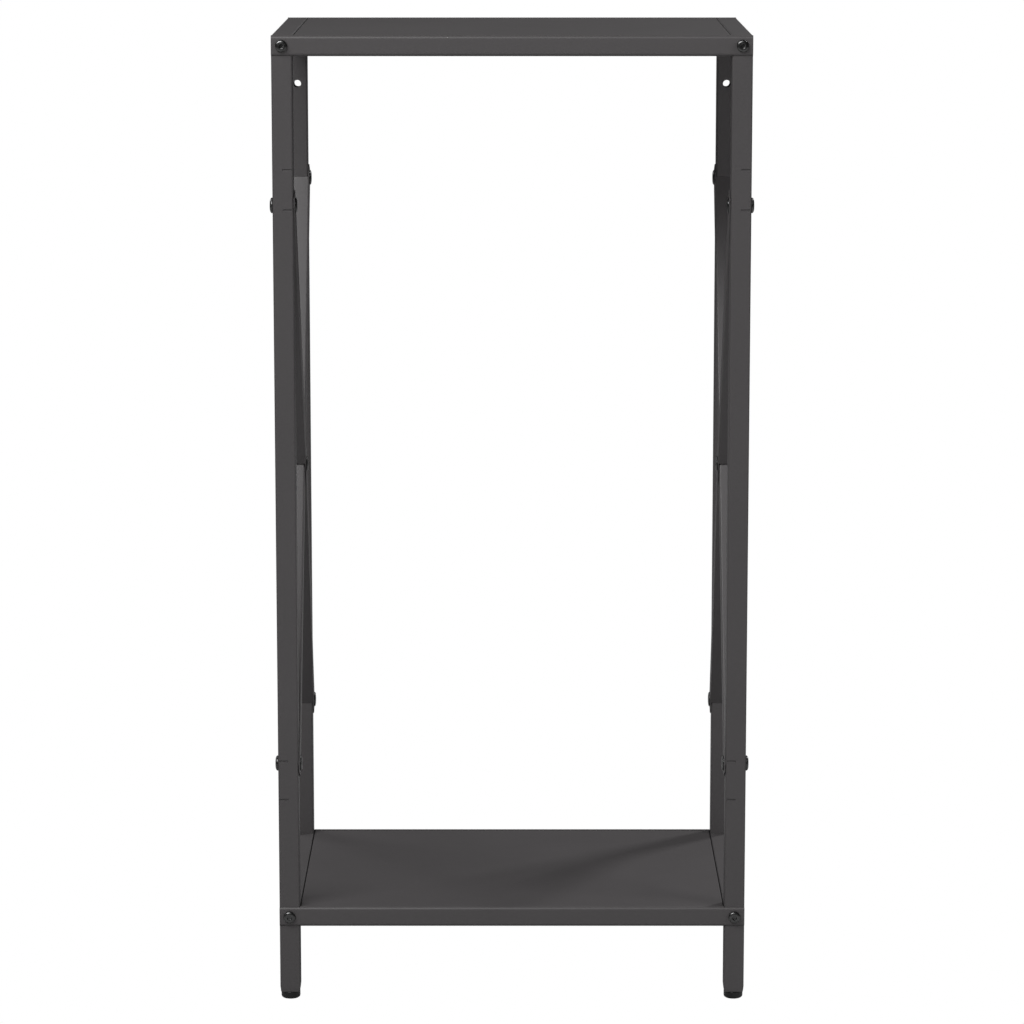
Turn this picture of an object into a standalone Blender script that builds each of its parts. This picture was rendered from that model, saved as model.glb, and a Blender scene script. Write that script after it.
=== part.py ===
"""Firewood log rack: four square-tube legs, two folded-steel shelves and a cross brace on each side.

Units are metres and +Z is up. The front faces -Y, and the rack stands on the floor at Z = 0 with the
origin under its middle. Left and right are seen from the front, so left is -X.
"""

import math

import bmesh
import bpy
from mathutils import Vector

# Driving dimensions
WIDTH = 0.415  # over the legs, without bolt heads
DEPTH = 0.280  # over the shelf rails, without bolt heads
HEIGHT = 0.860
BASE_TOP = 0.086  # top edge of the lower shelf's rails
RAIL_HEIGHT = 0.018  # every shelf rail
TUBE = 0.018  # square tube of the legs
WALL = 0.0012  # wall of the tube
TUBE_RADIUS = 0.0015  # its outer corners
SHEET = 0.0012  # folded steel of the shelves
FOLD_RADIUS = 0.0013  # outside a fold
FOLD_SEGMENTS = 3
GAP = 0.0003  # clearance between pieces that touch

# Shelves
RAIL_LIP = 0.004  # top return of a front or rear rail
RAIL_LEDGE = 0.010  # bottom return, which carries the panel's flanges
RAIL_FOLD = 0.003  # outside the folds of a front or rear rail
RAIL_FOLD_SEGMENTS = 5
PANEL_DROP = 0.0003  # the panel lies this far below the rails' top edge
PANEL_SIDE_SLIT = 0.0007  # visible joint between the panel and the side rails
PANEL_FRONT_SLIT = 0.0008  # and between the panel and the front and rear rails
PANEL_RADIUS = 0.0013
PANEL_SEGMENTS = 2

# Cross braces: angle strip, one flange flat on the legs and one pointing out
BRACE_SHEET = 0.001
BRACE_WIDTH = 0.018
BRACE_FLANGE = 0.0155
BRACE_FOLD = 0.0014  # outside the fold
BRACE_BOLT_SPAN = 0.497  # height between the bolts at a brace's two ends
BRACE_END = 0.010  # strip past the bolt
BRACE_NOTCH_MARGIN = 0.0015
BRACE_SEGMENTS = 2  # in the fold
BOW_STEPS = 12  # lengths that the bowed brace is bent in

# Feet
FOOT_RADIUS = 0.0085
FOOT_HEIGHT = 0.0067
FOOT_ROUND = 0.0015
STEM_RADIUS = 0.0066
STEM_HEIGHT = 0.016
STEM_CHAMFER = 0.001
LEG_TAPER = 0.0006  # each side of the leg draws in by this
LEG_TAPER_HEIGHT = 0.005
LEG_RING_MARGIN = 0.004  # each stretch of leg with a hole or a rail ends this far past it

# Fasteners, M6
HOLE_RADIUS = 0.0033
SHANK_RADIUS = 0.0028
BORE_RADIUS = 0.0031
CROWN_SHARE = 0.45  # flat middle of a domed head, of its radius
RIM_SHARE = 0.25  # upright rim of a domed head, of its height
DOME_STEPS = 3
RAIL_BOLT_HEAD = (0.00525, 0.0033)  # radius, height
RAIL_BOLT_SHANK = 0.0098
RAIL_SOCKET_DEPTH = 0.0018
RAIL_BOLT_INSET = 0.009  # from the rail's end and from its top edge
BRACE_HEAD = (0.00675, 0.0024)
BRACE_SOCKET_DEPTH = 0.0014
BRACE_SHANK_ROOM = 0.0035  # between the end of a brace bolt and its cap nut's head
CAP_HEAD = (0.00675, 0.0014)
CAP_SOCKET_DEPTH = 0.0007
CAP_FLOOR = 0.0002  # the nut's bore stops this far below its head
SLEEVE_RADIUS = 0.0040
SLEEVE_HOLE_RADIUS = 0.0044
SLEEVE_LENGTH = 0.0156
SOCKET_RADIUS = 0.0023  # across the corners of the hexagon, halved
NUT_RADIUS = 0.00577
NUT_THICKNESS = 0.005

# Wall fixing and the short marks on the front legs
WALL_HOLE_RADIUS = 0.0035
WALL_HOLE_Z = 0.800
MARK_OFFSETS = (0.245, 0.280)  # above and below the middle of the bay
MARK_SIZE = (0.0078, 0.0008, 0.0016)

FASTENER_SIDES = 12
WALL_HOLE_SIDES = 16
FOOT_SIDES = 20
ROUND_MIDDLE = 1 - math.sqrt(0.5)  # middle of a quarter round, in from its corner, of its radius
MERGE = 0.00005  # turned points closer than this are one
FAR = 0.05  # how far a cutter runs past what it cuts

# Places worked out from the above
LEG_X = WIDTH / 2 - TUBE / 2
LEG_OUTER_Y = DEPTH / 2 - SHEET - GAP
LEG_Y = LEG_OUTER_Y - TUBE / 2
LEG_INNER_Y = LEG_Y - TUBE / 2
INNER_X = WIDTH / 2 - TUBE
LEG_BOTTOM = FOOT_HEIGHT + GAP
LEG_TOP = HEIGHT - SHEET - GAP
BAY_MIDDLE = (BASE_TOP + HEIGHT - RAIL_HEIGHT) / 2
BRACE_ANGLE = math.atan2(2 * LEG_Y, BRACE_BOLT_SPAN)
BRACE_HALF = math.hypot(LEG_Y, BRACE_BOLT_SPAN / 2)
BRACE_OUTER_X = INNER_X - GAP  # face of a brace against the leg
BRACE_STEP = BRACE_SHEET + GAP  # how far the inner brace bows over the outer one
RAIL_BOLT_Z = {"top": HEIGHT - RAIL_BOLT_INSET, "base": BASE_TOP - RAIL_BOLT_INSET}
SIDES = {"left": -1, "right": 1}
ENDS = {"front": -1, "rear": 1}
SHELF_TOPS = {"top": HEIGHT, "base": BASE_TOP}


# Scene, collections and materials


def clear_scene():
    for obj in list(bpy.data.objects):
        bpy.data.objects.remove(obj)


def new_collection(name):
    collection = bpy.data.collections.new(name)
    bpy.context.scene.collection.children.link(collection)
    return collection


def new_material(name, color, roughness, metallic):
    material = bpy.data.materials.new(name)
    material.use_nodes = True
    shader = material.node_tree.nodes["Principled BSDF"]
    shader.inputs["Base Color"].default_value = (*color, 1)
    shader.inputs["Roughness"].default_value = roughness
    shader.inputs["Metallic"].default_value = metallic
    material.diffuse_color = (*color, 1)
    return material


FINISHES = {
    "frame": ((0.077, 0.072, 0.074), 0.48, 0.0),
    "shelf": ((0.081, 0.076, 0.078), 0.46, 0.0),
    "brace": ((0.083, 0.078, 0.080), 0.44, 0.0),
    "bolt": ((0.012, 0.012, 0.013), 0.28, 0.7),
    "nut": ((0.30, 0.30, 0.31), 0.35, 1.0),
    "foot": ((0.010, 0.010, 0.010), 0.50, 0.0),
}


def add_part(name, mesh, finish):
    """A named piece of the rack, with its own material."""
    obj = bpy.data.objects.new(name, mesh)
    parts.objects.link(obj)
    obj.parent = root
    mesh.materials.append(new_material(name, *FINISHES[finish]))
    return obj


def add_cutter(name, bm):
    obj = bpy.data.objects.new(name, mesh_from(name, bm))
    obj.hide_render = True
    obj.display_type = "WIRE"
    cutters.objects.link(obj)
    return obj


def mesh_from(name, bm):
    mesh = bpy.data.meshes.new(name)
    bm.to_mesh(mesh)
    bm.free()
    return mesh


def cut(obj, cutter):
    modifier = obj.modifiers.new(cutter.name, "BOOLEAN")
    modifier.operation = "DIFFERENCE"
    modifier.solver = "EXACT"
    modifier.object = cutter


def thicken(obj, thickness):
    """The mesh is the middle of the sheet, so the thickness goes half to each side."""
    modifier = obj.modifiers.new("thickness", "SOLIDIFY")
    modifier.thickness = thickness
    modifier.offset = 0
    modifier.use_even_offset = True


# Shapes


def rounded_path(corners, radius, segments=FOLD_SEGMENTS, closed=False):
    """A 2D path through the corners, each turned into an arc. An open path keeps its two ends."""
    path = []
    for i, corner in enumerate(corners):
        here = Vector(corner)
        if not closed and i in (0, len(corners) - 1):
            path.append(here)
            continue
        before = (Vector(corners[i - 1]) - here).normalized()
        after = (Vector(corners[(i + 1) % len(corners)]) - here).normalized()
        half = before.angle(after) / 2
        centre = here + (before + after).normalized() * (radius / math.sin(half))
        start = here + before * (radius / math.tan(half)) - centre
        end = here + after * (radius / math.tan(half)) - centre
        first = math.atan2(start.y, start.x)
        turn = math.atan2(end.y, end.x) - first
        turn = (turn + math.pi) % (2 * math.pi) - math.pi
        for step in range(segments + 1):
            angle = first + turn * step / segments
            path.append(centre + radius * Vector((math.cos(angle), math.sin(angle))))
    return path


def swept(path, place, direction, lengths, closed=False):
    """An open surface: the path, put in space by place(p, q), drawn out along direction in steps."""
    bm = bmesh.new()
    verts = [bm.verts.new(place(*point)) for point in path]
    edges = [bm.edges.new(pair) for pair in zip(verts, verts[1:])]
    if closed:
        edges.append(bm.edges.new((verts[-1], verts[0])))
    for length in lengths:
        made = bmesh.ops.extrude_edge_only(bm, edges=edges)["geom"]
        moved = [item for item in made if isinstance(item, bmesh.types.BMVert)]
        edges = [item for item in made if isinstance(item, bmesh.types.BMEdge)]
        bmesh.ops.translate(bm, verts=moved, vec=Vector(direction) * length)
    bmesh.ops.recalc_face_normals(bm, faces=bm.faces)
    return bm


def add_box(bm, low, high):
    low, high = Vector(low), Vector(high)
    verts = bmesh.ops.create_cube(bm, size=1)["verts"]
    bmesh.ops.scale(bm, vec=high - low, verts=verts)
    bmesh.ops.translate(bm, vec=(low + high) / 2, verts=verts)


def add_cylinder(bm, start, end, radius, sides=FASTENER_SIDES):
    start, end = Vector(start), Vector(end)
    turn = Vector((0, 0, 1)).rotation_difference(end - start).to_matrix().to_4x4()
    turn.translation = (start + end) / 2
    bmesh.ops.create_cone(
        bm,
        cap_ends=True,
        segments=sides,
        radius1=radius,
        radius2=radius,
        depth=(end - start).length,
        matrix=turn,
    )


def turned_mesh(name, profile):
    """The edge of a turned piece, listed from the top of its axis down the outside to the bottom."""
    bm = bmesh.new()
    verts = [bm.verts.new((radius, 0, height)) for radius, height in profile]
    for pair in zip(verts, verts[1:]):
        bm.edges.new(pair)
    return mesh_from(name, bm)


def add_turn(obj, sides):
    modifier = obj.modifiers.new("turn", "SCREW")
    modifier.steps = sides
    modifier.render_steps = sides
    modifier.use_merge_vertices = True
    modifier.merge_threshold = MERGE
    modifier.use_smooth_shade = True


def dome(radius, height):
    """Points of a low dome from its flat crown out to its rim."""
    crown = radius * CROWN_SHARE
    points = [(0, height)]
    for step in range(DOME_STEPS + 1):
        angle = math.pi / 2 * step / DOME_STEPS
        out = crown + (radius - crown) * math.sin(angle)
        points.append((out, height * (RIM_SHARE + (1 - RIM_SHARE) * math.cos(angle))))
    return points


# Cutters


def hole_cutters(end):
    """Bolt holes through a shelf rail and the near wall of each leg, at the front or the rear."""
    bm = bmesh.new()
    for side in SIDES.values():
        for z in RAIL_BOLT_Z.values():
            outside = (side * LEG_X, end * (DEPTH / 2 + FAR), z)
            inside = (side * LEG_X, end * LEG_Y, z)
            add_cylinder(bm, outside, inside, HOLE_RADIUS)
    return bm


def nut_bore_cutters(end):
    bm = bmesh.new()
    for side in SIDES.values():
        for z in RAIL_BOLT_Z.values():
            outside = (side * LEG_X, end * (DEPTH / 2 + FAR), z)
            inside = (side * LEG_X, end * LEG_INNER_Y, z)
            add_cylinder(bm, outside, inside, BORE_RADIUS)
    return bm


def brace_bolt_places():
    """Where each brace meets a leg, as (y, z)."""
    for end in ENDS.values():
        for level in (-1, 1):
            yield end * LEG_Y, BAY_MIDDLE + level * BRACE_BOLT_SPAN / 2


def brace_hole_cutters(side):
    """The bolt's hole in the leg's outer wall, and the wider sleeve's hole in its inner wall and braces."""
    bm = bmesh.new()
    for y, z in brace_bolt_places():
        outer = side * (LEG_X + WALL), side * (WIDTH / 2 + FAR)
        inner = side * (INNER_X - FAR), side * (LEG_X - WALL)
        add_cylinder(bm, (outer[0], y, z), (outer[1], y, z), HOLE_RADIUS)
        add_cylinder(bm, (inner[0], y, z), (inner[1], y, z), SLEEVE_HOLE_RADIUS)
    low, high = side * (INNER_X - FAR), side * (INNER_X + FAR)
    add_cylinder(bm, (low, 0, BAY_MIDDLE), (high, 0, BAY_MIDDLE), SLEEVE_HOLE_RADIUS)
    return bm


def brace_end_cutters():
    """Takes off the corners of the braces that would stand past the legs."""
    bm = bmesh.new()
    for end in ENDS.values():
        near, far = sorted((end * LEG_OUTER_Y, end * (LEG_OUTER_Y + FAR)))
        add_box(bm, (-WIDTH, near, 0), (WIDTH, far, HEIGHT))
    return bm


def brace_flange_cutters():
    """Takes off the braces' outward flanges where they would meet a leg."""
    bm = bmesh.new()
    for side in SIDES.values():
        for end in ENDS.values():
            near, far = sorted((end * (LEG_INNER_Y - GAP), end * (LEG_OUTER_Y + FAR)))
            clear_of_strip = side * (BRACE_OUTER_X + GAP / 2)
            left, right = sorted((clear_of_strip, side * (WIDTH / 2 + FAR)))
            add_box(bm, (left, near, 0), (right, far, HEIGHT))
    return bm


def wall_hole_cutters():
    bm = bmesh.new()
    for side in SIDES.values():
        front = (side * LEG_X, LEG_INNER_Y - FAR, WALL_HOLE_Z)
        back = (side * LEG_X, LEG_OUTER_Y + FAR, WALL_HOLE_Z)
        add_cylinder(bm, front, back, WALL_HOLE_RADIUS, WALL_HOLE_SIDES)
    return bm


def mark_cutters():
    """Shallow marks across half of each front leg's face: the right half above, the left half below."""
    width, depth, height = MARK_SIZE
    bm = bmesh.new()
    for side in SIDES.values():
        for offset in MARK_OFFSETS:
            for level in (-1, 1):
                z = BAY_MIDDLE + level * offset
                left, right = sorted((side * LEG_X, side * LEG_X + level * width))
                low = (left, -LEG_OUTER_Y - FAR, z - height / 2)
                high = (right, -LEG_OUTER_Y + depth, z + height / 2)
                add_box(bm, low, high)
    return bm


def leg_clearance_cutters():
    """Room for the legs behind the base rails' returns and behind the top rails' ledges."""
    bm = bmesh.new()
    front = LEG_OUTER_Y + GAP / 2
    for side in SIDES.values():
        left, right = sorted((side * (INNER_X - GAP), side * (WIDTH / 2 + FAR)))
        add_box(bm, (left, -front, 0), (right, front, HEIGHT - SHEET - GAP / 2))
    return bm


def leg_top_cutters():
    """Cuts the top side rails' flanges away over the legs, so that only their tops cover the tubes."""
    bm = bmesh.new()
    for end in ENDS.values():
        near, far = sorted((end * (LEG_INNER_Y - GAP), end * (DEPTH / 2 + FAR)))
        high = HEIGHT - SHEET - GAP / 3
        add_box(bm, (-WIDTH, near, HEIGHT - RAIL_HEIGHT - FAR), (WIDTH, far, high))
    return bm


# The frame


def leg_rings():
    """Heights of the leg's rings of edges: its ends, and both sides of each hole and rail."""
    bolts = [BAY_MIDDLE + level * BRACE_BOLT_SPAN / 2 for level in (-1, 1)]
    reach = SLEEVE_HOLE_RADIUS + LEG_RING_MARGIN
    wall_reach = WALL_HOLE_RADIUS + LEG_RING_MARGIN
    return [
        LEG_BOTTOM,
        LEG_BOTTOM + LEG_TAPER_HEIGHT,
        BASE_TOP + LEG_RING_MARGIN,
        bolts[0] - reach,
        bolts[0] + reach,
        bolts[1] - reach,
        bolts[1] + reach,
        WALL_HOLE_Z - wall_reach,
        WALL_HOLE_Z + wall_reach,
        HEIGHT - RAIL_HEIGHT - LEG_RING_MARGIN,
        LEG_TOP,
    ]


def leg_mesh():
    half = (TUBE - WALL) / 2
    corners = [(half, half), (-half, half), (-half, -half), (half, -half)]
    path = rounded_path(corners, TUBE_RADIUS - WALL / 2, closed=True)
    rings = leg_rings()
    lengths = [above - below for below, above in zip(rings, rings[1:])]
    bm = swept(path, lambda x, y: (x, y, LEG_BOTTOM), (0, 0, 1), lengths, closed=True)
    drawn_in = 1 - LEG_TAPER / half
    mouth = [v for v in bm.verts if v.co.z < LEG_BOTTOM + GAP]
    bmesh.ops.scale(bm, vec=(drawn_in, drawn_in, 1), verts=mouth)
    return mesh_from("leg", bm)


def make_legs():
    for end_name, end in ENDS.items():
        for side_name, side in SIDES.items():
            leg = add_part(f"{end_name}_{side_name}_leg", leg_mesh(), "frame")
            leg.location = (side * LEG_X, end * LEG_Y, 0)
            thicken(leg, WALL)
            cut(leg, rail_holes[end_name])
            cut(leg, brace_holes[side_name])
            cut(leg, marks if end_name == "front" else wall_holes)


def make_feet():
    base = FOOT_RADIUS - FOOT_ROUND
    profile = [
        (0, FOOT_HEIGHT + STEM_HEIGHT),
        (STEM_RADIUS - STEM_CHAMFER, FOOT_HEIGHT + STEM_HEIGHT),
        (STEM_RADIUS, FOOT_HEIGHT + STEM_HEIGHT - STEM_CHAMFER),
        (STEM_RADIUS, FOOT_HEIGHT),
        (FOOT_RADIUS, FOOT_HEIGHT),
        (FOOT_RADIUS, FOOT_ROUND),
        (FOOT_RADIUS - FOOT_ROUND * ROUND_MIDDLE, FOOT_ROUND * ROUND_MIDDLE),
        (base, 0),
        (0, 0),
    ]
    for end_name, end in ENDS.items():
        for side_name, side in SIDES.items():
            name = f"{end_name}_{side_name}_foot"
            foot = add_part(name, turned_mesh(name, profile), "foot")
            foot.location = (side * LEG_X, end * LEG_Y, 0)
            add_turn(foot, FOOT_SIDES)


# The shelves


def make_cross_rails():
    """The rails across the front and rear of each shelf: a face, a short top lip and a lower ledge."""
    face = DEPTH / 2 - SHEET / 2
    for level, top in SHELF_TOPS.items():
        high = top - SHEET / 2
        low = top - RAIL_HEIGHT + SHEET / 2
        section = [
            (DEPTH / 2 - RAIL_LIP, high),
            (face, high),
            (face, low),
            (DEPTH / 2 - RAIL_LEDGE, low),
        ]
        path = rounded_path(section, RAIL_FOLD - SHEET / 2, RAIL_FOLD_SEGMENTS)
        for end_name, end in ENDS.items():
            bm = swept(path, lambda y, z: (-WIDTH / 2, end * y, z), (1, 0, 0), (WIDTH,))
            name = f"{level}_{end_name}_rail"
            rail = add_part(name, mesh_from(name, bm), "shelf")
            thicken(rail, SHEET)
            cut(rail, leg_clearance)
            cut(rail, rail_holes[end_name])


def make_side_rails():
    """Channels along the sides, open below. The top pair also covers the legs' open ends."""
    inner, outer = INNER_X + SHEET / 2, WIDTH / 2 - SHEET / 2
    lengths = {"top": 2 * (DEPTH / 2 - RAIL_LIP - GAP), "base": 2 * (LEG_INNER_Y - GAP)}
    for level, top in SHELF_TOPS.items():
        high = top - SHEET / 2
        low = top - RAIL_HEIGHT
        path = rounded_path(
            [(inner, low), (inner, high), (outer, high), (outer, low)],
            FOLD_RADIUS - SHEET / 2,
        )
        length = lengths[level]
        for side_name, side in SIDES.items():
            bm = swept(path, lambda x, z: (side * x, -length / 2, z), (0, 1, 0), (length,))
            name = f"{level}_{side_name}_side_rail"
            rail = add_part(name, mesh_from(name, bm), "shelf")
            thicken(rail, SHEET)
            if level == "top":
                cut(rail, leg_tops)


def make_panels():
    """Each shelf's panel is a shallow tray, open below, that stands on the cross rails' ledges."""
    size_x = 2 * (INNER_X - PANEL_SIDE_SLIT) - SHEET
    size_y = 2 * (DEPTH / 2 - RAIL_LIP - PANEL_FRONT_SLIT) - SHEET
    for level, top in SHELF_TOPS.items():
        high = top - PANEL_DROP - SHEET / 2
        low = top - RAIL_HEIGHT + SHEET + GAP
        bm = bmesh.new()
        add_box(bm, (-size_x / 2, -size_y / 2, low), (size_x / 2, size_y / 2, high))
        floor = [face for face in bm.faces if face.normal.z < -0.9]
        bmesh.ops.delete(bm, geom=floor, context="FACES_ONLY")
        rim = [edge for edge in bm.edges if edge.is_boundary]
        folds = [edge for edge in bm.edges if edge not in rim]
        bmesh.ops.bevel(
            bm,
            geom=folds,
            offset=PANEL_RADIUS - SHEET / 2,
            segments=PANEL_SEGMENTS,
            profile=0.5,
            affect="EDGES",
        )
        name = f"{level}_panel"
        panel = add_part(name, mesh_from(name, bm), "shelf")
        thicken(panel, SHEET)


# The cross braces


def brace_mesh(name, side, bow):
    """An angle strip along local Z, with its outward flange on the -Y edge, bowed inwards by bow."""
    strip = BRACE_WIDTH / 2 - BRACE_SHEET / 2
    section = [
        (BRACE_FLANGE, -strip),
        (-BRACE_SHEET / 2, -strip),
        (-BRACE_SHEET / 2, BRACE_WIDTH / 2),
    ]
    path = rounded_path(section, BRACE_FOLD - BRACE_SHEET / 2, BRACE_SEGMENTS)
    half = BRACE_HALF + BRACE_END
    steps = BOW_STEPS if bow else 1
    bm = swept(path, lambda x, y: (side * x, y, -half), (0, 0, 1), [2 * half / steps] * steps)
    for vert in bm.verts:
        along = min(abs(vert.co.z) / BRACE_HALF, 1)
        vert.co.x -= side * bow * (1 - along**2) ** 2
    return mesh_from(name, bm)


def notch_cutters():
    """Room for the outer brace where the inner brace's outward flange passes it."""
    tilt = 2 * BRACE_ANGLE
    reach = BRACE_WIDTH / 2
    first = reach * (math.cos(tilt) - 1) / math.sin(tilt) - BRACE_NOTCH_MARGIN
    last = reach * (math.cos(tilt) + 1) / math.sin(tilt) + BRACE_NOTCH_MARGIN
    start_x = BRACE_OUTER_X - BRACE_STEP - GAP / 2
    for side_name, side in SIDES.items():
        bm = bmesh.new()
        left, right = sorted((side * start_x, side * (WIDTH / 2 + FAR)))
        front, back = -reach - BRACE_FOLD, -reach + BRACE_FOLD
        add_box(bm, (left, front, -last), (right, back, -first))
        cutter = add_cutter(f"cut_{side_name}_notch", bm)
        cutter.location = (0, 0, BAY_MIDDLE)
        cutter.rotation_euler = (BRACE_ANGLE, 0, 0)
        yield side_name, cutter


def make_braces():
    for side_name, side in SIDES.items():
        for place, tilt, bow in (("outer", -BRACE_ANGLE, 0), ("inner", BRACE_ANGLE, BRACE_STEP)):
            name = f"{side_name}_{place}_brace"
            brace = add_part(name, brace_mesh(name, side, bow), "brace")
            brace.location = (side * BRACE_OUTER_X, 0, BAY_MIDDLE)
            brace.rotation_euler = (tilt, 0, 0)
            thicken(brace, BRACE_SHEET)
            cut(brace, brace_flanges)
            cut(brace, brace_ends)
            cut(brace, brace_holes[side_name])
            if bow:
                cut(brace, notches[side_name])


# Fasteners: each is turned about local Z, with its head or cap at the top


def bolt(name, head, shank):
    """A round-headed bolt, its head's underside at local Z = 0."""
    profile = dome(*head) + [(head[0], 0), (SHANK_RADIUS, 0), (SHANK_RADIUS, -shank), (0, -shank)]
    obj = add_part(name, turned_mesh(name, profile), "bolt")
    add_turn(obj, FASTENER_SIDES)
    return obj


def cap_nut(name, sleeve):
    """A round-headed nut with a threaded sleeve, which the bolt enters from below."""
    profile = dome(*CAP_HEAD) + [
        (CAP_HEAD[0], 0),
        (SLEEVE_RADIUS, 0),
        (SLEEVE_RADIUS, -sleeve),
        (BORE_RADIUS, -sleeve),
        (BORE_RADIUS, -CAP_FLOOR),
        (0, -CAP_FLOOR),
    ]
    obj = add_part(name, turned_mesh(name, profile), "bolt")
    add_turn(obj, FASTENER_SIDES)
    return obj


def add_socket(obj, place, axis, head_height, depth):
    """A hexagon socket, depth deep, in the crown of a head that points along axis."""
    bm = bmesh.new()
    outside = Vector(axis) * (head_height + FAR)
    add_cylinder(bm, Vector(axis) * (head_height - depth), outside, SOCKET_RADIUS, sides=6)
    cutter = add_cutter(f"cut_{obj.name}", bm)
    cutter.location = place
    cut(obj, cutter)


def aim(obj, place, axis):
    obj.location = place
    obj.rotation_euler = Vector((0, 0, 1)).rotation_difference(Vector(axis)).to_euler()


def make_rail_fasteners():
    head_y = DEPTH / 2 + GAP
    nut_y = LEG_OUTER_Y - WALL - GAP - NUT_THICKNESS / 2
    for level, z in RAIL_BOLT_Z.items():
        for end_name, end in ENDS.items():
            for side_name, side in SIDES.items():
                where = f"{level}_{end_name}_{side_name}"
                place = (side * LEG_X, end * head_y, z)
                screw = bolt(f"{where}_rail_bolt", RAIL_BOLT_HEAD, RAIL_BOLT_SHANK)
                aim(screw, place, (0, end, 0))
                add_socket(screw, place, (0, end, 0), RAIL_BOLT_HEAD[1], RAIL_SOCKET_DEPTH)
                bm = bmesh.new()
                half = Vector((0, NUT_THICKNESS / 2, 0))
                add_cylinder(bm, -half, half, NUT_RADIUS, sides=6)
                name = f"{where}_weld_nut"
                nut = add_part(name, mesh_from(name, bm), "nut")
                nut.location = (side * LEG_X, end * nut_y, z)
                cut(nut, nut_bores[end_name])


def make_brace_fasteners():
    head_x = WIDTH / 2 + GAP
    cap_x = BRACE_OUTER_X - BRACE_SHEET - GAP
    shank = head_x - cap_x - BRACE_SHANK_ROOM
    levels = {"lower": -1, "upper": 1}
    for side_name, side in SIDES.items():
        outward, inward = (side, 0, 0), (-side, 0, 0)
        for end_name, end in ENDS.items():
            for level_name, level in levels.items():
                where = f"{side_name}_{end_name}_{level_name}"
                y, z = end * LEG_Y, BAY_MIDDLE + level * BRACE_BOLT_SPAN / 2
                pair_up(where, (side * head_x, y, z), (side * cap_x, y, z), outward, inward, shank)
        head = (side * (BRACE_OUTER_X + GAP), 0, BAY_MIDDLE)
        cap = (side * (cap_x - BRACE_STEP), 0, BAY_MIDDLE)
        pair_up(f"{side_name}_crossing", head, cap, outward, inward, BRACE_STEP + BRACE_SHEET)


def pair_up(where, head, cap, outward, inward, shank):
    """A bolt whose head is at one side and the cap nut that it screws into at the other."""
    screw = bolt(f"{where}_brace_bolt", BRACE_HEAD, shank)
    aim(screw, head, outward)
    add_socket(screw, head, outward, BRACE_HEAD[1], BRACE_SOCKET_DEPTH)
    room = abs(head[0] - cap[0]) - 2 * GAP
    nut = cap_nut(f"{where}_cap_nut", min(SLEEVE_LENGTH, room))
    aim(nut, cap, inward)
    add_socket(nut, cap, inward, CAP_HEAD[1], CAP_SOCKET_DEPTH)


clear_scene()
parts = new_collection("firewood_log_rack")
cutters = new_collection("cutters")
root = bpy.data.objects.new("rack", None)
parts.objects.link(root)

rail_holes = {n: add_cutter(f"cut_{n}_rail_holes", hole_cutters(s)) for n, s in ENDS.items()}
nut_bores = {n: add_cutter(f"cut_{n}_nut_bores", nut_bore_cutters(s)) for n, s in ENDS.items()}
brace_holes = {n: add_cutter(f"cut_{n}_brace_holes", brace_hole_cutters(s)) for n, s in SIDES.items()}
brace_ends = add_cutter("cut_brace_ends", brace_end_cutters())
brace_flanges = add_cutter("cut_brace_flanges", brace_flange_cutters())
wall_holes = add_cutter("cut_wall_holes", wall_hole_cutters())
marks = add_cutter("cut_marks", mark_cutters())
leg_clearance = add_cutter("cut_leg_clearance", leg_clearance_cutters())
leg_tops = add_cutter("cut_leg_tops", leg_top_cutters())
notches = dict(notch_cutters())

make_legs()
make_feet()
make_cross_rails()
make_side_rails()
make_panels()
make_braces()
make_rail_fasteners()
make_brace_fasteners()
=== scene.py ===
"""Looks for the firewood log rack: fine fasteners and feet, powder-coated steel, a pale studio."""

import math

import bmesh
import bpy
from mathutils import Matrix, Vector


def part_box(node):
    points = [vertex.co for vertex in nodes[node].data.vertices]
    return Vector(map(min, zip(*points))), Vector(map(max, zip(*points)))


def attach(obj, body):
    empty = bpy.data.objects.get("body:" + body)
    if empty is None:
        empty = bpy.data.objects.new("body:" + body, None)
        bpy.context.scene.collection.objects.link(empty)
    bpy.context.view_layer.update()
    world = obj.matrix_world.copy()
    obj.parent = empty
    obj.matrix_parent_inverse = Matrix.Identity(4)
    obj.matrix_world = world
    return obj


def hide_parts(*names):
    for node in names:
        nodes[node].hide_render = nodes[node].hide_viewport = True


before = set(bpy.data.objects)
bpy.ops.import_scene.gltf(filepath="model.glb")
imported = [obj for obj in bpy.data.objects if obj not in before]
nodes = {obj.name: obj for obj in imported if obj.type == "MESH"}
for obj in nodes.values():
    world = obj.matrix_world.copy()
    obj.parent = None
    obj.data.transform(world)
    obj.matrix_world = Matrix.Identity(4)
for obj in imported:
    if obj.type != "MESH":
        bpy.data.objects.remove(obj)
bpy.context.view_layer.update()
scene = bpy.context.scene

MM = 0.001


# Materials. A noise's scale is in cells per metre.

TINT = (1.07, 1.025)  # how much redder and bluer than green the coat is
CLOUD = 0.03  # how far the coat's grey strays over a hand's width, as a share of it
GRAIN = 0.07  # how far it strays from grain to grain
NOISE_LOW, NOISE_HIGH = 0.3, 0.7  # nearly all of a noise lies between these


def new_material(name):
    material = bpy.data.materials.new(name)
    material.use_nodes = True
    tree = material.node_tree
    tree.nodes.clear()
    output = tree.nodes.new("ShaderNodeOutputMaterial")
    shader = tree.nodes.new("ShaderNodeBsdfPrincipled")
    tree.links.new(shader.outputs["BSDF"], output.inputs["Surface"])
    return material, tree, shader


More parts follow.
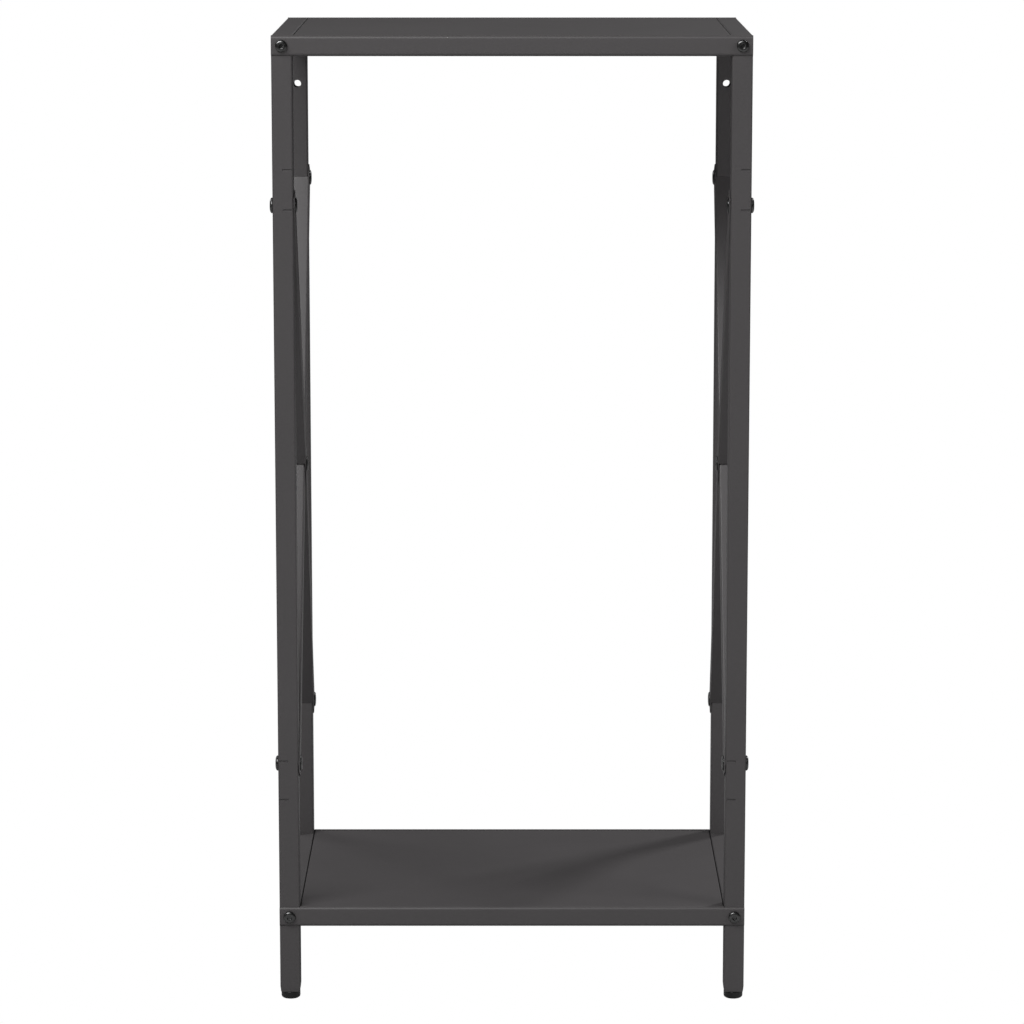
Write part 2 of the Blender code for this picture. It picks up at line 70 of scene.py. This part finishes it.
def noise(tree, scale, detail, roughness=0.5):
    """Noise over the piece's own place in the rack, so that no two pieces repeat it."""
    place = tree.nodes.new("ShaderNodeTexCoord")
    texture = tree.nodes.new("ShaderNodeTexNoise")
    texture.inputs["Scale"].default_value = scale
    texture.inputs["Detail"].default_value = detail
    texture.inputs["Roughness"].default_value = roughness
    tree.links.new(place.outputs["Object"], texture.inputs["Vector"])
    return texture.outputs["Fac"]


def colours(tree, value, low, high):
    """The noise as a colour from low to high."""
    node = tree.nodes.new("ShaderNodeValToRGB")
    node.color_ramp.elements[0].position = NOISE_LOW
    node.color_ramp.elements[0].color = (*low, 1)
    node.color_ramp.elements[1].position = NOISE_HIGH
    node.color_ramp.elements[1].color = (*high, 1)
    tree.links.new(value, node.inputs["Fac"])
    return node.outputs["Color"]


def levels(tree, value, low, high):
    """The noise as a number from low to high."""
    node = tree.nodes.new("ShaderNodeMapRange")
    node.inputs["From Min"].default_value = NOISE_LOW
    node.inputs["From Max"].default_value = NOISE_HIGH
    node.inputs["To Min"].default_value = low
    node.inputs["To Max"].default_value = high
    tree.links.new(value, node.inputs["Value"])
    return node.outputs["Result"]


def multiplied(tree, first, second):
    node = tree.nodes.new("ShaderNodeMix")
    node.data_type = "RGBA"
    node.blend_type = "MULTIPLY"
    node.inputs["Factor"].default_value = 1.0
    tree.links.new(first, node.inputs["A"])
    tree.links.new(second, node.inputs["B"])
    return node.outputs["Result"]


def bump(tree, shader, height, distance, strength, below=None):
    """Raises the shader's surface by the height, on top of the bump below it, if there is one."""
    node = tree.nodes.new("ShaderNodeBump")
    node.inputs["Distance"].default_value = distance
    node.inputs["Strength"].default_value = strength
    tree.links.new(height, node.inputs["Height"])
    if below is not None:
        tree.links.new(below, node.inputs["Normal"])
    tree.links.new(node.outputs["Normal"], shader.inputs["Normal"])
    return node.outputs["Normal"]


def grey(value, red=1.0, blue=1.0):
    return (value * red, value, value * blue)


def powder_coat(name, tone):
    """Satin powder coat: an even grey, a fine grain in it, and an orange-peel surface."""
    material, tree, shader = new_material(name)
    light, dark = grey(tone * (1 + CLOUD), *TINT), grey(tone * (1 - CLOUD), *TINT)
    cloudy = colours(tree, noise(tree, scale=9, detail=3), dark, light)
    grain = colours(tree, noise(tree, scale=1400, detail=1), grey(1 - GRAIN), grey(1 + GRAIN))
    tree.links.new(multiplied(tree, cloudy, grain), shader.inputs["Base Color"])
    rough = levels(tree, noise(tree, scale=35, detail=4, roughness=0.6), low=0.46, high=0.49)
    tree.links.new(rough, shader.inputs["Roughness"])
    shader.inputs["IOR"].default_value = 1.5
    peel = noise(tree, scale=620, detail=1.5)
    peel = bump(tree, shader, peel, distance=0.04 * MM, strength=0.4)
    fine = noise(tree, scale=1900, detail=2)
    bump(tree, shader, fine, distance=0.02 * MM, strength=0.35, below=peel)
    return material


def speckled(name, metallic, colour, rough, relief):
    """A finish whose colour, roughness and height each follow a noise of their own."""
    material, tree, shader = new_material(name)
    tone = noise(tree, colour["scale"], colour["detail"])
    tone = colours(tree, tone, colour["low"], colour["high"])
    tree.links.new(tone, shader.inputs["Base Color"])
    gloss = noise(tree, rough["scale"], rough["detail"])
    gloss = levels(tree, gloss, rough["low"], rough["high"])
    tree.links.new(gloss, shader.inputs["Roughness"])
    shader.inputs["Metallic"].default_value = metallic
    height = noise(tree, relief["scale"], relief["detail"])
    bump(tree, shader, height, relief["distance"], relief["strength"])
    return material


MATERIALS = {
    "frame_steel": powder_coat("frame_powder_coat", tone=0.052),
    "shelf_steel": powder_coat("shelf_powder_coat", tone=0.054),
    "brace_steel": powder_coat("brace_powder_coat", tone=0.055),
    "fastener_black": speckled(
        "black_fastener",
        metallic=1.0,
        colour={"scale": 260, "detail": 3, "low": grey(0.10), "high": grey(0.14)},
        rough={"scale": 700, "detail": 3, "low": 0.26, "high": 0.34},
        relief={"scale": 1500, "detail": 2, "distance": 0.02 * MM, "strength": 0.25},
    ),
    "nut_zinc": speckled(
        "zinc_plate",
        metallic=1.0,
        colour={
            "scale": 420,
            "detail": 4,
            "low": (0.34, 0.35, 0.37),
            "high": (0.52, 0.52, 0.50),
        },
        rough={"scale": 900, "detail": 3, "low": 0.28, "high": 0.48},
        relief={"scale": 1800, "detail": 2, "distance": 0.03 * MM, "strength": 0.4},
    ),
    "foot_plastic": speckled(
        "foot_plastic",
        metallic=0.0,
        colour={"scale": 300, "detail": 3, "low": grey(0.004), "high": grey(0.007)},
        rough={"scale": 500, "detail": 3, "low": 0.20, "high": 0.30},
        relief={"scale": 2600, "detail": 2, "distance": 0.04 * MM, "strength": 0.5},
    ),
}


# Sheet and tube: the CAD nodes with eased edges and smooth folds

SHARP = math.radians(40)  # an edge that turns further than this is a real edge
FLAT = math.radians(0.4)  # faces that turn less than this are one flat face
WELD = 0.005 * MM  # points nearer than this are one point
EASE = 0.2 * MM  # width of an eased edge
BIG_FACES_FIRST = 60  # above 50, a big face counts for more in a normal than a small one


def smooth_group():
    """Drops the CAD mesh's own normals and shades its folds smooth, with its real edges kept."""
    group = bpy.data.node_groups.new("smooth_folds", "GeometryNodeTree")
    group.interface.new_socket("Geometry", in_out="INPUT", socket_type="NodeSocketGeometry")
    group.interface.new_socket("Geometry", in_out="OUTPUT", socket_type="NodeSocketGeometry")
    start = group.nodes.new("NodeGroupInput")
    end = group.nodes.new("NodeGroupOutput")
    forget = group.nodes.new("GeometryNodeRemoveAttribute")
    forget.inputs["Name"].default_value = "custom_normal"
    faces = group.nodes.new("GeometryNodeSetShadeSmooth")
    faces.domain = "FACE"
    edges = group.nodes.new("GeometryNodeSetShadeSmooth")
    edges.domain = "EDGE"
    angle = group.nodes.new("GeometryNodeInputMeshEdgeAngle")
    soft = group.nodes.new("FunctionNodeCompare")
    soft.data_type = "FLOAT"
    soft.operation = "LESS_THAN"
    soft.inputs["B"].default_value = SHARP
    link = group.links.new
    link(start.outputs[0], forget.inputs["Geometry"])
    link(forget.outputs["Geometry"], faces.inputs["Geometry"])
    link(faces.outputs["Geometry"], edges.inputs["Geometry"])
    link(angle.outputs["Unsigned Angle"], soft.inputs["A"])
    link(soft.outputs["Result"], edges.inputs["Shade Smooth"])
    link(edges.outputs["Geometry"], end.inputs[0])
    return group


SMOOTH = smooth_group()


def refine(obj, slot_name):
    """The finish, and modifiers only: weld, merge flat faces, ease the edges, smooth the folds."""
    obj.data.materials.clear()
    obj.data.materials.append(MATERIALS[slot_name])
    weld = obj.modifiers.new("weld", "WELD")
    weld.merge_threshold = WELD
    flat = obj.modifiers.new("flat", "DECIMATE")
    flat.decimate_type = "DISSOLVE"
    flat.angle_limit = FLAT
    ease = obj.modifiers.new("ease", "BEVEL")
    ease.width = EASE
    ease.segments = 2
    ease.limit_method = "ANGLE"
    ease.angle_limit = SHARP
    ease.use_clamp_overlap = False
    ease.miter_outer = "MITER_ARC"
    shade = obj.modifiers.new("shade", "NODES")
    shade.node_group = SMOOTH
    level = obj.modifiers.new("level", "WEIGHTED_NORMAL")
    level.mode = "FACE_AREA"
    level.weight = BIG_FACES_FIRST
    level.keep_sharp = True


# Turned pieces: rings of points, joined up from one to the next

RING = 64  # points in every ring
NUT_SHARP = math.radians(28)  # as SHARP, in a weld nut, whose chamfers turn less


def circle(radius, height):
    step = 2 * math.pi / RING
    return [(radius * math.cos(i * step), radius * math.sin(i * step), height) for i in range(RING)]


def hexagon(corner, height):
    """A hexagon with as many points as a circle, so that the two join up."""
    ring = []
    for i in range(RING):
        turn = 2 * math.pi * i / RING
        from_flat = (turn % (math.pi / 3)) - math.pi / 6
        radius = corner * math.cos(math.pi / 6) / math.cos(from_flat)
        ring.append((radius * math.cos(turn), radius * math.sin(turn), height))
    return ring


def arc(radius_at, height_at, size, first, last, steps):
    """Rings round a fillet whose section centre is (radius_at, height_at), in degrees."""
    rings = []
    for i in range(steps + 1):
        angle = math.radians(first + (last - first) * i / steps)
        rings.append(
            circle(radius_at + size * math.cos(angle), height_at + size * math.sin(angle))
        )
    return rings


def turned(name, rings, place, axis, material, through=False):
    """A closed piece through the rings, its local Z laid along axis.

    The first and the last ring are capped, or joined to each other where a hole runs through.
    """
    bm = bmesh.new()
    turn = Vector((0, 0, 1)).rotation_difference(Vector(axis)).to_matrix()
    centre = Vector(place)
    rows = [[bm.verts.new(centre + turn @ Vector(p)) for p in ring] for ring in rings]
    below_rows = rows[1:] + rows[:1] if through else rows[1:]
    for above, below in zip(rows, below_rows):
        for i in range(RING):
            j = (i + 1) % RING
            face = bm.faces.new((above[i], below[i], below[j], above[j]))
            face.smooth = True
    if not through:
        for row, height in ((rows[0], rings[0][0][2]), (rows[-1], rings[-1][0][2])):
            middle = bm.verts.new(centre + turn @ Vector((0, 0, height)))
            for i in range(RING):
                bm.faces.new((row[i], row[(i + 1) % RING], middle))
    bmesh.ops.recalc_face_normals(bm, faces=bm.faces)
    sharp = NUT_SHARP if through else SHARP
    for edge in bm.edges:
        if edge.calc_face_angle() > sharp:
            edge.smooth = False
    mesh = bpy.data.meshes.new(name)
    bm.to_mesh(mesh)
    bm.free()
    obj = bpy.data.objects.new(name, mesh)
    scene.collection.objects.link(obj)
    mesh.materials.append(material)
    return obj


def bounds_of(node):
    low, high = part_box(node)
    return low, high, (low + high) / 2


def fit_piece(obj, node):
    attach(obj, "root")
    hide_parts(node)


# Bolts and cap nuts: a hexagon socket, a domed head, and a shank or a sleeve below it

SOCKET_CORNER = 2.3 * MM
BORE = 3.1 * MM  # radius of the nuts' bores

# Each head's height, its rim's share of that, and its socket's depth
HEADS = {
    "_rail_bolt": {"height": 3.3 * MM, "rim": 0.45, "depth": 1.8 * MM},
    "_brace_bolt": {"height": 2.4 * MM, "rim": 0.25, "depth": 1.4 * MM},
    "_cap_nut": {"height": 1.4 * MM, "rim": 0.25, "depth": 0.7 * MM},
}


def socket(top, depth):
    """A hexagon socket's rings, from its dished floor up to the rim of its lead-in."""
    corner, floor = SOCKET_CORNER, top - depth
    dish, fillet, lead, rounding = 0.1 * MM, 0.12 * MM, 0.18 * MM, 0.03 * MM
    dish_share, floor_share = 0.86, 0.97
    lead_out, rim_out = 0.10 * MM, 0.28 * MM
    return [
        hexagon(corner * dish_share, floor - dish),
        hexagon(corner * floor_share, floor),
        hexagon(corner, floor + fillet),
        hexagon(corner, top - lead),
        circle(corner + lead_out, top - rounding),
        circle(corner + rim_out, top),
    ]


def domed(radius, height, rim):
    """Rings over a low domed head, from the flat round its socket down to its seat."""
    flat_out, shoulder, under = 0.75 * MM, 0.35 * MM, 0.12 * MM
    steps = 9
    crown = SOCKET_CORNER + flat_out
    rings = [circle(crown, height)]
    for i in range(1, steps + 1):
        angle = math.pi / 2 * i / steps
        out = crown + (radius - crown) * math.sin(angle)
        rings.append(circle(out, height * (rim + (1 - rim) * math.cos(angle))))
    rings.append(circle(radius, min(shoulder, height * rim / 2)))
    rings.append(circle(radius - under, 0.0))
    return rings


def shank(bottom):
    """A bolt's shank, from under the head to its chamfered end."""
    radius, chamfer, fillet = 2.8 * MM, 0.5 * MM, 0.2 * MM
    return [
        circle(radius + fillet, 0),
        circle(radius, -fillet),
        circle(radius, bottom + chamfer),
        circle(radius - chamfer, bottom),
    ]


def sleeve(bottom):
    """A cap nut's sleeve: down outside, and up its bore to a floor just below the head."""
    radius, chamfer, fillet, floor = 4.0 * MM, 0.3 * MM, 0.15 * MM, 0.2 * MM
    return [
        circle(radius + fillet, 0),
        circle(radius, -fillet),
        circle(radius, bottom + chamfer),
        circle(radius - chamfer, bottom),
        circle(BORE + chamfer / 2, bottom),
        circle(BORE, bottom + chamfer / 2),
        circle(BORE, -floor),
    ]


def make_fastener(node, axis, head, below):
    """A bolt or cap nut in its node's place, its head towards axis."""
    low, high, middle = bounds_of(node)
    along = [abs(a) for a in axis].index(1)
    across = (along + 1) % 3
    radius = (high[across] - low[across]) / 2
    length = high[along] - low[along]
    sign = axis[along]
    tip = high[along] if sign > 0 else low[along]
    seat = Vector(middle)
    seat[along] = tip - sign * head["height"]
    rings = socket(head["height"], head["depth"])
    rings += domed(radius, head["height"], head["rim"])
    rings += below(head["height"] - length)
    obj = turned(f"{node}_fine", rings, seat, axis, MATERIALS["fastener_black"])
    fit_piece(obj, node)


# Feet and weld nuts


def make_foot(node):
    """A round foot with a rounded sole, and the stem that it is pushed into the leg with."""
    low, high, middle = bounds_of(node)
    radius, stem_top = (high.x - low.x) / 2, high.z - low.z
    top, edge, sole = 6.7 * MM, 0.5 * MM, 2.4 * MM  # the disc, and its two roundings
    stem, point, tip, root = 6.6 * MM, 1.0 * MM, 0.3 * MM, 0.01 * MM
    sole_flat, sole_middle = 1.2 * MM, 1.5 * MM
    rings = [
        circle(stem - point, stem_top),
        circle(stem - tip, stem_top - tip),
        circle(stem, stem_top - point),
        circle(stem, top + root),
        circle(radius - edge, top),
    ]
    rings += arc(radius - edge, top - edge, edge, first=75, last=0, steps=4)
    rings += arc(radius - sole, sole, sole, first=0, last=-90, steps=8)
    rings += [circle(radius - sole - sole_flat, 0.0), circle(sole_middle, 0.0)]
    place = (middle.x, middle.y, low.z)
    obj = turned(f"{node}_fine", rings, place, (0, 0, 1), MATERIALS["foot_plastic"])
    fit_piece(obj, node)


def make_nut(node, axis):
    """A hexagon nut, chamfered outside and in its bore."""
    low, high, middle = bounds_of(node)
    half = (high.y - low.y) / 2
    corner, face, chamfer = 5.75 * MM, 4.6 * MM, 0.35 * MM
    rings = [
        circle(face, half),
        hexagon(corner, half - chamfer),
        hexagon(corner, -half + chamfer),
        circle(face, -half),
        circle(BORE + chamfer, -half),
        circle(BORE, -half + chamfer),
        circle(BORE, half - chamfer),
        circle(BORE + chamfer, half),
    ]
    obj = turned(f"{node}_fine", rings, middle, axis, MATERIALS["nut_zinc"], through=True)
    fit_piece(obj, node)


# Every node gets its finish or its fine stand-in


def side(node):
    """-1 for a node on the rack's left, and 1 for one on its right."""
    return -1 if "left" in node else 1


def end(node):
    """-1 for a node at the rack's front, and 1 for one at its rear."""
    return -1 if "_front_" in node else 1


for name in sorted(nodes):
    if name.endswith("_rail_bolt"):
        make_fastener(name, (0, end(name), 0), HEADS["_rail_bolt"], shank)
    elif name.endswith("_weld_nut"):
        make_nut(name, (0, end(name), 0))
    elif name.endswith("_brace_bolt"):
        make_fastener(name, (side(name), 0, 0), HEADS["_brace_bolt"], shank)
    elif name.endswith("_cap_nut"):
        make_fastener(name, (-side(name), 0, 0), HEADS["_cap_nut"], sleeve)
    elif name.endswith("_foot"):
        make_foot(name)
    elif name.endswith("_leg"):
        refine(nodes[name], "frame_steel")
    elif name.endswith("_brace"):
        refine(nodes[name], "brace_steel")
    else:
        refine(nodes[name], "shelf_steel")


# Studio

WHITE = (1, 1, 1, 1)
BOUNCE = (0.38, 0.38, 0.38, 1)  # what the floor gives back to the rack
AMBIENT = 0.052  # strength of the light from all round
FLOOR_HALF = 40  # m
LIGHT_TARGET = Vector((0, 0, 0.45))
LIGHT_DISTANCE = 3.2  # m
CAMERA_PLACE = (0, -3.6824, 1.0710)
CAMERA_PITCH = 10.037  # degrees below level
SENSOR_WIDTH = 36  # mm
LENS = 144.2  # mm
FAR = 200  # m, the furthest that the camera sees


def stage_material(name):
    """White where it is seen, and a dim reflector to everything that it lights."""
    material = bpy.data.materials.new(name)
    material.use_nodes = True
    tree = material.node_tree
    tree.nodes.clear()
    output = tree.nodes.new("ShaderNodeOutputMaterial")
    glow = tree.nodes.new("ShaderNodeEmission")
    glow.inputs["Color"].default_value = WHITE
    dull = tree.nodes.new("ShaderNodeBsdfDiffuse")
    dull.inputs["Color"].default_value = BOUNCE
    path = tree.nodes.new("ShaderNodeLightPath")
    mix = tree.nodes.new("ShaderNodeMixShader")
    tree.links.new(path.outputs["Is Camera Ray"], mix.inputs["Fac"])
    tree.links.new(dull.outputs["BSDF"], mix.inputs[1])
    tree.links.new(glow.outputs["Emission"], mix.inputs[2])
    tree.links.new(mix.outputs["Shader"], output.inputs["Surface"])
    return material


def make_floor():
    half = FLOOR_HALF
    mesh = bpy.data.meshes.new("floor")
    corners = [(-half, -half, 0), (half, -half, 0), (half, half, 0), (-half, half, 0)]
    mesh.from_pydata(corners, [], [(0, 1, 2, 3)])
    floor = bpy.data.objects.new("floor", mesh)
    scene.collection.objects.link(floor)
    mesh.materials.append(stage_material("floor_white"))


def make_world():
    """White where it is seen, and a dim light from all round."""
    world = bpy.data.worlds.new("studio")
    scene.world = world
    world.use_nodes = True
    tree = world.node_tree
    tree.nodes.clear()
    output = tree.nodes.new("ShaderNodeOutputWorld")
    back = tree.nodes.new("ShaderNodeBackground")
    back.inputs["Color"].default_value = WHITE
    tree.links.new(back.outputs["Background"], output.inputs["Surface"])
    path = tree.nodes.new("ShaderNodeLightPath")
    level = tree.nodes.new("ShaderNodeMix")
    level.data_type = "FLOAT"
    level.inputs["A"].default_value = AMBIENT
    level.inputs["B"].default_value = 1.0
    tree.links.new(path.outputs["Is Camera Ray"], level.inputs["Factor"])
    tree.links.new(level.outputs["Result"], back.inputs["Strength"])


def soft_light(name, azimuth, elevation, size, power, mirrored=True):
    """A soft box aimed at the rack's middle. Azimuth 0 is in front of it and 90 on its right."""
    light = bpy.data.lights.new(name, "AREA")
    light.shape = "RECTANGLE"
    light.size, light.size_y = size
    light.energy = power
    obj = bpy.data.objects.new(name, light)
    turn, rise = math.radians(azimuth), math.radians(elevation)
    away = Vector(
        (math.sin(turn) * math.cos(rise), -math.cos(turn) * math.cos(rise), math.sin(rise))
    )
    obj.location = LIGHT_TARGET + LIGHT_DISTANCE * away
    obj.rotation_euler = (-away).to_track_quat("-Z", "Y").to_euler()
    obj.visible_camera = False
    obj.visible_glossy = mirrored
    scene.collection.objects.link(obj)


def make_camera():
    camera = bpy.data.cameras.new("camera")
    camera.sensor_width = SENSOR_WIDTH
    camera.lens = LENS
    camera.clip_end = FAR
    obj = bpy.data.objects.new("camera", camera)
    obj.location = CAMERA_PLACE
    obj.rotation_euler = (math.radians(90 - CAMERA_PITCH), 0, 0)
    scene.collection.objects.link(obj)
    scene.camera = obj


make_floor()
make_world()
soft_light("key", azimuth=-34, elevation=44, size=(2.3, 1.3), power=88)
soft_light("right", azimuth=60, elevation=25, size=(1.3, 1.3), power=37, mirrored=False)
soft_light("rear_right", azimuth=130, elevation=42, size=(0.45, 0.45), power=45)
soft_light("rear_left", azimuth=-130, elevation=30, size=(1.3, 1.3), power=20)
soft_light("front", azimuth=0, elevation=8, size=(1.3, 1.3), power=14, mirrored=False)
make_camera()
scene.view_settings.view_transform = "Standard"
scene.view_settings.look = "None"
